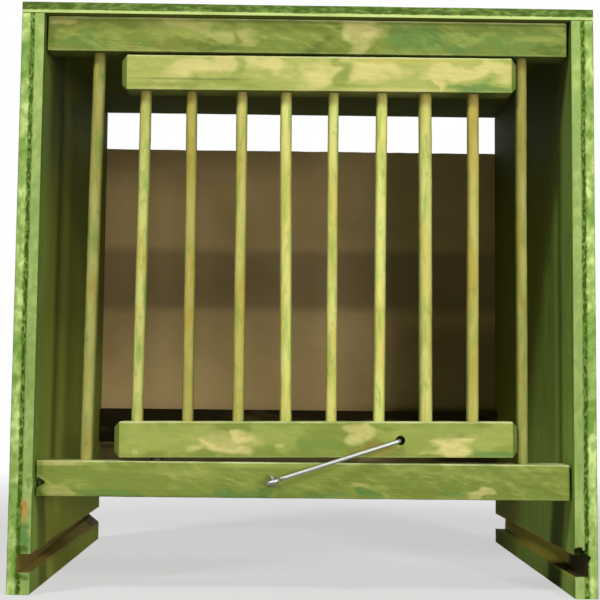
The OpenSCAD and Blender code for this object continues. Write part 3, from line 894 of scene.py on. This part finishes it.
def back_finish(tints):
    """Hardboard: smooth face inside, pressed with a fine mesh behind."""
    finish = Finish("brown_hardboard", tints.hardboard)
    x, z = finish.x, finish.z
    cloud = finish.noise(0.12, 0.05, 0.09, detail=3.0, warp=0.5)
    fibre = finish.noise(0.0016, detail=4.0, rough=0.7)
    scuff = finish.noise(0.03, 0.01, 0.004, turn=(0, 0.5, 0), detail=3.0)
    finish.coat(tints.hardboard_deep, cloud.ramp(0.4, 0.7) * 0.5)
    rear = finish.ny.ramp(0.5, 0.9)
    smooth_face = 1 - rear
    # Painted shade: a darker band across the middle of the inner face, and the board a little darker above it
    band = (z + (cloud - 0.5) * 0.012).band(0.214, 0.270, 0.007)
    finish.dim(1.0 - 0.4 * band * smooth_face)
    finish.dim(1.0 - 0.05 * z.ramp(0.262, 0.285))
    # Painted shadow of the right side on the lower right of the inner face
    finish.dim(1.0 - 0.35 * x.ramp(0.08, 0.13) * z.ramp(0.22, 0.18) * smooth_face)
    # Below the batten the board is painted dark, as shade seen through the gap under the door, but for one
    # lit stretch
    lit_stretch = x.band(0.055, 0.130, 0.012)
    finish.dim(1.0 - z.ramp(0.091, 0.086) * (0.72 - 0.5 * lit_stretch) * smooth_face)
    finish.dim(0.85 + 0.3 * fibre)
    finish.coat(tints.hardboard, scuff.ramp(0.66, 0.75) * 0.25)
    # The mesh repeats every 1.6 mm
    across, upward = (axis.math("SINE", axis * 3900.0) for axis in (x, z))
    mesh = across.most(upward) * 0.5 + 0.5
    finish.dim(1.0 - rear * (0.35 - 0.25 * mesh))
    return finish.done(0.55 + 0.25 * fibre, fibre * 0.25 + mesh * rear * 0.9, 0.0004)


def batten_finish(tints):
    """Unstained batten, very dark."""
    finish = Finish("dark_batten", tints.batten_dark)
    streak = finish.noise(0.05, 0.0015, 0.0015, detail=4.0, rough=0.6)
    cloud = finish.noise(0.05, 0.02, 0.012, detail=3.0)
    finish.coat(tints.bare_wood_and_shade, cloud.ramp(0.5, 0.75) * 0.3)
    finish.dim((0.55 + 0.6 * streak) * (0.85 + 1.2 * finish.x.ramp(0.02, 0.12)))
    return finish.done(0.6 + 0.2 * streak, streak, 0.0006)


def metal_finish(name, bright, dull, roughness, tarnish):
    """Plated wire or steel with scuffs and dull spots."""
    finish = Finish(name, bright, roughness, metallic=1.0, shine=0.5)
    cloud = finish.noise(0.004, detail=4.0, rough=0.65)
    scuff = finish.noise(0.0009, detail=3.0, rough=0.6)
    spots = cloud.ramp(0.72 - tarnish, 0.82 - tarnish * 0.7)
    finish.coat(dull, spots)
    finish.dim(0.9 + 0.2 * scuff)
    worn = roughness + 0.25 * spots + 0.1 * scuff
    return finish.done(worn, scuff, 0.00008, metallic=1.0 - 0.35 * spots)


# The pieces


def chosen(context):
    """The sizes and colours that are set in the sidebar."""
    return context.scene.nest_box_sizes, context.scene.nest_box_colours


class NESTBOX_OT_side_panels(bpy.types.Operator):
    """Two plywood sides with torn cores, countersunk screws and rough tray grooves"""

    bl_idname = "nestbox.side_panels"
    bl_label = "Side Panels"

    def execute(self, context):
        sizes, tints = chosen(context)
        material = side_finish(tints)
        for seed, (node, side) in enumerate(SIDES, 1):
            low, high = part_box(node)
            front, back = low[1], high[1]
            inner, outer = sorted((low[0], high[0]), key=abs)
            panel = block(node + "_boards", low, high)
            round_edges(panel, sizes.board_round)
            cut_across(panel, (2, 0.0041), (2, 0.00205), (1, 0.0075))
            for y, inward in ((front, 1), (back, -1)):
                self.open_core(panel, outer - side * CORE_PLY, y, inward, sizes, seed)
            wave(panel, sizes.board_wave, 0.05)
            take_away(panel, self.groove(node, side, inner, front, back, sizes, seed))
            for rail in SCREWED_RAILS:
                middle = halfway(*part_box(rail))
                take_away(panel, sink((outer, middle[1], middle[2]), (-side, 0, 0)))
            for x, z, reach, chip_seed in CHIPS[node]:
                take_away(panel, self.chip((x, front, z), reach, chip_seed))
            face_out(panel)
            smooth(panel, 30)
            finish_piece(panel, "case", material, node)
        return {"FINISHED"}

    def open_core(self, panel, middle, y, inward, sizes, seed):
        """Presses the torn core ply in, along one upright edge, clear of the foot and the groove."""
        half = sizes.core_width / 2
        edges = (middle - half, middle + half)
        for x in edges:
            pick(panel, "FACE")
            bpy.ops.mesh.bisect(plane_co=(x, 0, 0), plane_no=(1, 0, 0))
            leave()

        def on_core(face):
            spot = face.calc_center_median()
            inside = abs(spot[1] - y) < 1e-5 and abs(spot[0] - middle) < half
            return inside and any(foot < spot[2] < top for foot, top in CORE_RUNS)

        def on_rim(corner):
            return abs(corner.co[1] - y) < 1e-5 and min(abs(corner.co[0] - x) for x in edges) < 1e-6

        pick(panel, "FACE", on_core)
        bpy.ops.mesh.extrude_region_move(TRANSFORM_OT_translate={"value": (0, inward * sizes.core_depth, 0)})
        bpy.ops.transform.vertex_random(offset=sizes.core_tear, uniform=1.0, normal=0.0, seed=seed + 4)
        leave()
        tear(panel, sizes.core_tear, seed + 9, on_rim)

    def groove(self, node, side, inner, front, back, sizes, seed):
        """Cutter for the rough tray groove, open at the front and the back."""
        floor = inner + side * GROOVE_DEPTH
        near, far = sorted((inner - side * PROUD, floor))
        lowest, highest = GROOVE_LEVELS
        cutter = block("groove", (near, front - 2 * PROUD, lowest), (far, back + 2 * PROUD, highest))
        for end, levels in zip((front, back), GROOVE_ENDS[node]):
            for true, cut in zip(GROOVE_LEVELS, levels):
                pick(cutter, "VERT", lambda v: v.co[1] * end > 0 and abs(v.co[2] - true) < 1e-5)
                bpy.ops.transform.translate(value=(0, 0, cut - true))
                leave()
        cut_across(cutter, (1, 0.0032), (2, 0.004))
        if side < 0:
            # A splinter closes the corner of this groove at its back end
            pick(cutter, "VERT", lambda v: v.co[1] > back - 0.012 and abs(v.co[0] - floor) < 1e-5)
            lintel = GROOVE_ENDS[node][1][1]
            bpy.ops.transform.resize(value=(1, 1, 0.45), center_override=(floor, back, lintel))
            leave()
        tear(cutter, sizes.groove_tear, seed)
        return cutter

    def chip(self, middle, reach, seed):
        """A ragged lump that bites a chip out of an edge."""
        deselect()
        bpy.ops.mesh.primitive_ico_sphere_add(subdivisions=3, radius=1, location=middle, scale=reach)
        lump = settle("chip")
        tear(lump, min(reach) * 0.22, seed)
        return lump


class NESTBOX_OT_top_panel(bpy.types.Operator):
    """Thin plywood top on the two sides"""

    bl_idname = "nestbox.top_panel"
    bl_label = "Top Panel"

    def execute(self, context):
        sizes, tints = chosen(context)
        low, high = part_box("top_panel")
        panel = block("top_boards", low, high)
        cut_across(panel, (0, 0.006), (1, 0.007))
        round_edges(panel, sizes.board_round * 0.8)
        wave(panel, sizes.board_wave, 0.04)
        first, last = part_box("top_screws")
        for x in (first[0] + SCREW_HEAD, last[0] - SCREW_HEAD):
            for y in (first[1] + SCREW_HEAD, (first[1] + last[1]) / 2, last[1] - SCREW_HEAD):
                take_away(panel, sink((x, y, high[2]), (0, 0, -1)))
        face_out(panel)
        smooth(panel, 30)
        finish_piece(panel, "case", top_finish(tints), "top_panel")
        return {"FINISHED"}


def planed_rail(node, sizes, seed=0, chamfer=0.0):
    """A rail with uneven planed faces. A rail of the door has a chamfer round its ends, and is tilted."""
    low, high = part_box(node)
    rail = block(node + "_wood", low, high)
    if chamfer:
        ends = (low[0], high[0])
        pick(rail, "EDGE", lambda e: any(all(abs(v.co[0] - x) < 1e-6 for v in e.verts) for x in ends))
        bpy.ops.mesh.bevel(offset=chamfer, segments=1)
        leave()
    else:
        tear(rail, 0.0003, seed)
    cut_across(rail, (0, 0.004), (2, 0.005))
    if chamfer:
        pick(rail, "VERT")
        tilt = math.atan(RAIL_RISE[node])
        bpy.ops.transform.rotate(value=tilt, orient_axis="Y", center_override=halfway(low, high))
        leave()
    round_edges(rail, sizes.door_round if chamfer else sizes.rail_round, angle=25, segments=3)
    wave(rail, sizes.rail_wave, 0.012)
    return rail


def finish_rail(rail, node, tints):
    smooth(rail)
    finish_piece(rail, RAILS[node][0], rail_finish(node, tints), node)


class NESTBOX_OT_frame_rails(bpy.types.Operator):
    """Top and bottom rails of the front frame, the bottom one split at its left end"""

    bl_idname = "nestbox.frame_rails"
    bl_label = "Frame Rails"

    def execute(self, context):
        sizes, tints = chosen(context)
        top = planed_rail("frame_top_rail", sizes, 2)
        finish_rail(top, "frame_top_rail", tints)
        bottom = planed_rail("frame_bottom_rail", sizes, 3)
        take_away(bottom, self.split(*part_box("frame_bottom_rail")[0]))
        face_out(bottom)
        finish_rail(bottom, "frame_bottom_rail", tints)
        return {"FINISHED"}

    def split(self, x, y, z):
        """A ragged wedge that enters a rail's end, whose lower front corner is given, and narrows inward."""

        def thin_end(edge):
            first, last = (v.co for v in edge.verts)
            return min(first[0], last[0]) > x + 0.005 and abs(first[1] - last[1]) < 1e-6

        wedge = block("split", (x - 0.001, y - 0.001, z + 0.0055), (x + 0.0062, y + 0.0065, z + 0.0150))
        pick(wedge, "EDGE", thin_end)
        bpy.ops.transform.resize(value=(1, 1, 0.15))
        leave()
        cut_across(wedge, (0, 0.0016))
        tear(wedge, 0.0006, 4, lambda v: v.co[0] > x)
        return wedge


class NESTBOX_OT_door_rails(bpy.types.Operator):
    """Chamfered rails of the door, bored for the pivot nails and the hook"""

    bl_idname = "nestbox.door_rails"
    bl_label = "Door Rails"

    def execute(self, context):
        sizes, tints = chosen(context)
        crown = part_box("door_top_rail")[1][2]
        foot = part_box("door_bottom_rail")[0][2]
        bore_depth = PIVOT_BORE[1]
        bores = {
            "door_top_rail": (crown - bore_depth, crown + PROUD),
            "door_bottom_rail": (foot - PROUD, foot + bore_depth),
        }
        for node, levels in bores.items():
            rail = planed_rail(node, sizes, chamfer=sizes.end_chamfer)
            take_away(rail, self.bore(*levels))
            if node == "door_bottom_rail":
                take_away(rail, self.hook_hole(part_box(node)[0][1]))
            face_out(rail)
            finish_rail(rail, node, tints)
        return {"FINISHED"}

    def bore(self, foot, top):
        """Cutter for a pivot nail's bore, between two levels."""
        x, y, _ = joint_named("door_swing")["pos_m"]
        return rod("bore", (x, y, foot), (x, y, top), PIVOT_BORE[0])

    def hook_hole(self, front):
        """Ragged cutter for the hole that the hook's tip enters."""
        x, z, radius, depth = HOOK_HOLE
        mouth = Vector((x, front, z))
        drill = rod("drill", mouth - Vector((0, PROUD, 0)), mouth + Vector((0, depth, 0)), radius, 28)
        tear(drill, 0.00012, 9)
        return drill


class NESTBOX_OT_bars(bpy.types.Operator):
    """Ten dowels: one on each side of the door and eight in it"""

    bl_idname = "nestbox.bars"
    bl_label = "Bars"

    def execute(self, context):
        sizes, tints = chosen(context)
        for source in ("left_fixed_bar", "door_bar_1"):
            first = self.dowel(source, sizes)
            for seed, (node, stand) in enumerate(DOWELS.items(), 1):
                if stand[0] == DOWELS[source][0]:
                    self.lay(first, source, node, stand, seed, tints)
            bpy.data.objects.remove(first)
        return {"FINISHED"}

    def dowel(self, node, sizes):
        """The dowel that the others are copied from."""
        low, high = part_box(node)
        x, y, _ = halfway(low, high)
        bar = rod("dowel", (x, y, low[2]), (x, y, high[2]), (high[0] - low[0]) / 2)
        cut_across(bar, (2, 0.005))
        wave(bar, sizes.dowel_bow, length=0.13, way="X", level=0.5)
        wave(bar, sizes.dowel_bow, length=0.11, way="Y", level=0.5)
        wave(bar, 0.0003, length=0.006)
        round_edges(bar, 0.0005, angle=60, segments=1)
        smooth(bar, 40)
        return bar

    def lay(self, first, source, node, stand, seed, tints):
        """Copies the first dowel to the place of another, as crooked as that one was set."""
        body, foot, top, girth, warmth, light = stand
        start, goal = halfway(*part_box(source)), halfway(*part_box(node))
        shift = (goal[0] - start[0] + (foot + top) / 2, 0, 0)
        lean = math.atan2(foot - top, DOWEL_SPAN)
        bar = copy_of(first, node + "_dowel", shift, seed * 1.1, lean, girth, start)
        finish_piece(bar, body, bar_finish(node, tints, warmth, light, seed), node)


class NESTBOX_OT_back(bpy.types.Operator):
    """Hardboard back and the dark batten at its foot"""

    bl_idname = "nestbox.back"
    bl_label = "Back"

    def execute(self, context):
        sizes, tints = chosen(context)
        low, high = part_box("back_panel")
        board = block("back_board", low, high)
        cut_across(board, (0, 0.008), (2, 0.008))
        tear(board, 0.0002, 5, lambda v: v.co[2] > high[2] - 1e-5)
        round_edges(board, 0.0003, angle=50, segments=1)
        wave(board, 0.00012, 0.02)
        smooth(board)
        finish_piece(board, "case", back_finish(tints), "back_panel")
        batten = block("back_batten_wood", *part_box("back_batten"))
        tear(batten, 0.0003, 6)
        cut_across(batten, (0, 0.006), (2, 0.006))
        round_edges(batten, sizes.rail_round, angle=25)
        wave(batten, 0.0004, 0.015)
        smooth(batten)
        finish_piece(batten, "case", batten_finish(tints), "back_batten")
        return {"FINISHED"}


def arc(middle, radius, start, end, steps):
    """Points on an arc, from one angle to another in degrees."""
    turns = [math.radians(start + (end - start) * i / steps) for i in range(steps + 1)]
    return [(middle[0] + radius * math.cos(a), middle[1] + radius * math.sin(a)) for a in turns]


def ring(radius, start, end, steps, neck, heading, neck_steps):
    """An open ring about the origin, left in a neck that curves the other way until it has the heading."""
    round_part = arc((0, 0), radius, start, end, steps)
    away = math.radians(end - 270)
    middle = (round_part[-1][0] + neck * math.sin(away), round_part[-1][1] - neck * math.cos(away))
    return round_part + arc(middle, neck, end - 180, heading, neck_steps)[1:]


def laid_out(path, origin, first, second):
    """A path in millimetres along two directions as places in metres."""
    return [origin + first * (a / 1000) + second * (b / 1000) for a, b in path]


class NESTBOX_OT_latch(bpy.types.Operator):
    """Wire hook, its ring linked through the screw eye"""

    bl_idname = "nestbox.latch"
    bl_label = "Hook and Eye"

    def execute(self, context):
        sizes, tints = chosen(context)
        joint = joint_named("hook_lift")
        centre, across = Vector(joint["pos_m"]), Vector(joint["axis"])
        tilt = math.atan2(joint["axis"][0], -joint["axis"][2])
        along = Vector((math.cos(tilt), 0, math.sin(tilt)))
        out = Vector((0, -1, 0))

        # The wires' paths are in millimetres and degrees. The hook's runs a little toward the rail and bends
        # into the hole
        radius, slope, neck, bend_radius = 4.5, 3.83, 5.78, 3
        rise = (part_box("frame_bottom_rail")[0][1] - centre[1]) * 1000
        bend = (87.5, 0.393 - rise)
        path = ring(radius, start=16, end=322, steps=44, neck=neck, heading=90 - slope, neck_steps=10)
        path += arc(bend, bend_radius, start=90 - slope, end=0, steps=12)
        path += [(bend[0] + bend_radius, bend[1] - depth) for depth in (4, 7.5, 9.4, 10.0)]
        taper = [0.82, 0.95] + [1.0] * (len(path) - 6) + [1.0, 0.98, 0.9, 0.6]
        hook = wire("wire_hook", laid_out(path, centre, along, out), sizes.wire_radius, taper)
        zinc = metal_finish("bright_zinc", tints.zinc, tints.zinc_dull, roughness=0.34, tarnish=0.08)
        finish_piece(hook, "hook", zinc, "latch_hook")

        # The eye's shank runs straight into the rail
        radius, neck = 3.75, 2.746
        path = ring(radius, start=28, end=335, steps=40, neck=neck, heading=90, neck_steps=8)
        path += [(depth, 0) for depth in (8, 12, 17, 19.3)]
        taper = [0.8, 0.95] + [1.0] * (len(path) - 6) + [1.25, 1.25, 1.25, 0.3]
        middle = centre - out * (radius / 1000)
        eye = wire("screw_eye", laid_out(path, middle, -out, across), sizes.eye_radius, taper)
        dull = metal_finish("dull_zinc", tints.steel, tints.zinc_dull, roughness=0.5, tarnish=0.16)
        finish_piece(eye, "case", dull, "latch_eye")
        return {"FINISHED"}


class NESTBOX_OT_fixings(bpy.types.Operator):
    """Finishes of the screws, the nails and the door's pivots"""

    bl_idname = "nestbox.fixings"
    bl_label = "Fixings"

    def execute(self, context):
        tints = context.scene.nest_box_colours
        steel, stain = tints.steel, tints.steel_stain
        screw = metal_finish("screw_steel", steel, stain, roughness=0.38, tarnish=0.14)
        nail = metal_finish("nail_steel", steel, stain, roughness=0.45, tarnish=0.24)
        # The pivots are darker than the other steel: tarnish, and painted shade of the gaps that they sit in
        pivot = metal_finish("pivot_steel", stain, tints.batten_dark, roughness=0.55, tarnish=0.24)
        finishes = {
            "side_screws": screw, "top_screws": screw, "back_nails": nail,
            "upper_pivot_nail": pivot, "lower_pivot_nail": pivot, "pivot_spacer": pivot,
        }
        for node, material in finishes.items():
            mesh = frame["nodes"][node].data
            mesh.materials.clear()
            mesh.materials.append(material)
        return {"FINISHED"}


class NESTBOX_OT_stage(bpy.types.Operator):
    """Pale floor, soft lamps and the camera"""

    bl_idname = "nestbox.stage"
    bl_label = "Stage"

    def execute(self, context):
        scene, light = context.scene, context.scene.nest_box_light
        deselect()
        bpy.ops.mesh.primitive_grid_add(x_subdivisions=8, y_subdivisions=8, size=12, location=(0, 0, -0.0002))
        floor = settle("studio_floor")
        floor.data.materials.append(self.floor_finish(scene.nest_box_colours))
        for name, (place, aim, width) in LAMPS.items():
            self.lamp(name + "_lamp", place, aim, width, getattr(light, name + "_power"))
        self.room(scene, light.sky)
        deselect()
        turn = [math.radians(angle) for angle in CAMERA_TURN]
        bpy.ops.object.camera_add(location=CAMERA_PLACE, rotation=turn)
        camera = context.object
        camera.name = "photo_camera"
        camera.data.sensor_width = 36
        camera.data.lens = CAMERA_LENS
        camera.data.clip_start = 0.01
        scene.camera = camera
        scene.view_settings.view_transform = "Standard"
        return {"FINISHED"}

    def lamp(self, name, place, aim, width, power):
        deselect()
        facing = (Vector(aim) - Vector(place)).to_track_quat("-Z", "Y").to_euler()
        bpy.ops.object.light_add(type="AREA", location=place, rotation=facing)
        lamp = bpy.context.object
        lamp.name = name
        lamp.data.shape = "DISK"
        lamp.data.size = width
        lamp.data.energy = power

    def floor_finish(self, tints):
        """Pale and matt, and paper white to the camera further from the box."""
        finish = Finish("pale_floor", tints.floor, roughness=0.9)
        finish.feed(finish.shader.inputs["Base Color"], finish.tint)
        rays = finish.node("ShaderNodeLightPath")
        glow = finish.node("ShaderNodeEmission", {}, {"Color": (1, 1, 1), "Strength": 1.0})
        share = Tone(finish, finish.vector("LENGTH", finish.place)).ramp(0.25, 1.3) * 0.45 + 0.55
        seen = Tone(finish, rays.outputs["Is Camera Ray"]) * share
        shaders = {0: seen, 1: finish.shader.outputs[0], 2: glow.outputs[0]}
        mixed = finish.node("ShaderNodeMixShader", {}, shaders)
        finish.feed(finish.end.inputs["Surface"], mixed.outputs[0])
        return finish.material

    def room(self, scene, strength):
        """Even light from all round, and plain white behind the box."""
        scene.world = bpy.data.worlds.new("studio")
        room = Nodes(scene.world)
        rays = room.node("ShaderNodeLightPath").outputs
        seen = Tone(room, rays["Is Camera Ray"]).most(rays["Is Glossy Ray"])
        seen = seen.most(rays["Is Transmission Ray"])
        soft, white = (
            room.node("ShaderNodeBackground", {}, {"Color": (1, 1, 1), "Strength": level}).outputs[0]
            for level in (strength, 1.0)
        )
        mixed = room.node("ShaderNodeMixShader", {}, {0: seen, 1: soft, 2: white})
        room.node("ShaderNodeOutputWorld", {}, {"Surface": mixed.outputs[0]})


PIECES = (
    NESTBOX_OT_side_panels,
    NESTBOX_OT_top_panel,
    NESTBOX_OT_frame_rails,
    NESTBOX_OT_door_rails,
    NESTBOX_OT_bars,
    NESTBOX_OT_back,
    NESTBOX_OT_latch,
    NESTBOX_OT_fixings,
    NESTBOX_OT_stage,
)

GROUPS = {
    "nest_box_sizes": NestBoxSizes,
    "nest_box_colours": NestBoxColours,
    "nest_box_light": NestBoxLight,
}


class NESTBOX_PT_panel(bpy.types.Panel):
    """Lists the pieces of the nest box"""

    bl_idname = "NESTBOX_PT_panel"
    bl_label = "Nest Box"
    bl_space_type = "VIEW_3D"
    bl_region_type = "UI"
    bl_category = "Nest Box"

    def draw(self, context):
        for piece in PIECES:
            self.layout.operator(piece.bl_idname)
        for name, group in GROUPS.items():
            column = self.layout.column()
            for setting in group.__annotations__:
                column.prop(getattr(context.scene, name), setting)


def register():
    for name, group in GROUPS.items():
        bpy.utils.register_class(group)
        setattr(bpy.types.Scene, name, PointerProperty(type=group))
    for piece in (*PIECES, NESTBOX_PT_panel):
        bpy.utils.register_class(piece)


def unregister():
    for piece in (NESTBOX_PT_panel, *reversed(PIECES)):
        bpy.utils.unregister_class(piece)
    for name, group in reversed(GROUPS.items()):
        delattr(bpy.types.Scene, name)
        bpy.utils.unregister_class(group)


def main():
    register()
    bpy.ops.nestbox.side_panels()
    bpy.ops.nestbox.top_panel()
    bpy.ops.nestbox.frame_rails()
    bpy.ops.nestbox.door_rails()
    bpy.ops.nestbox.bars()
    bpy.ops.nestbox.back()
    bpy.ops.nestbox.latch()
    bpy.ops.nestbox.fixings()
    bpy.ops.nestbox.stage()
    deselect()
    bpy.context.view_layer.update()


if __name__ == "__main__":
    main()
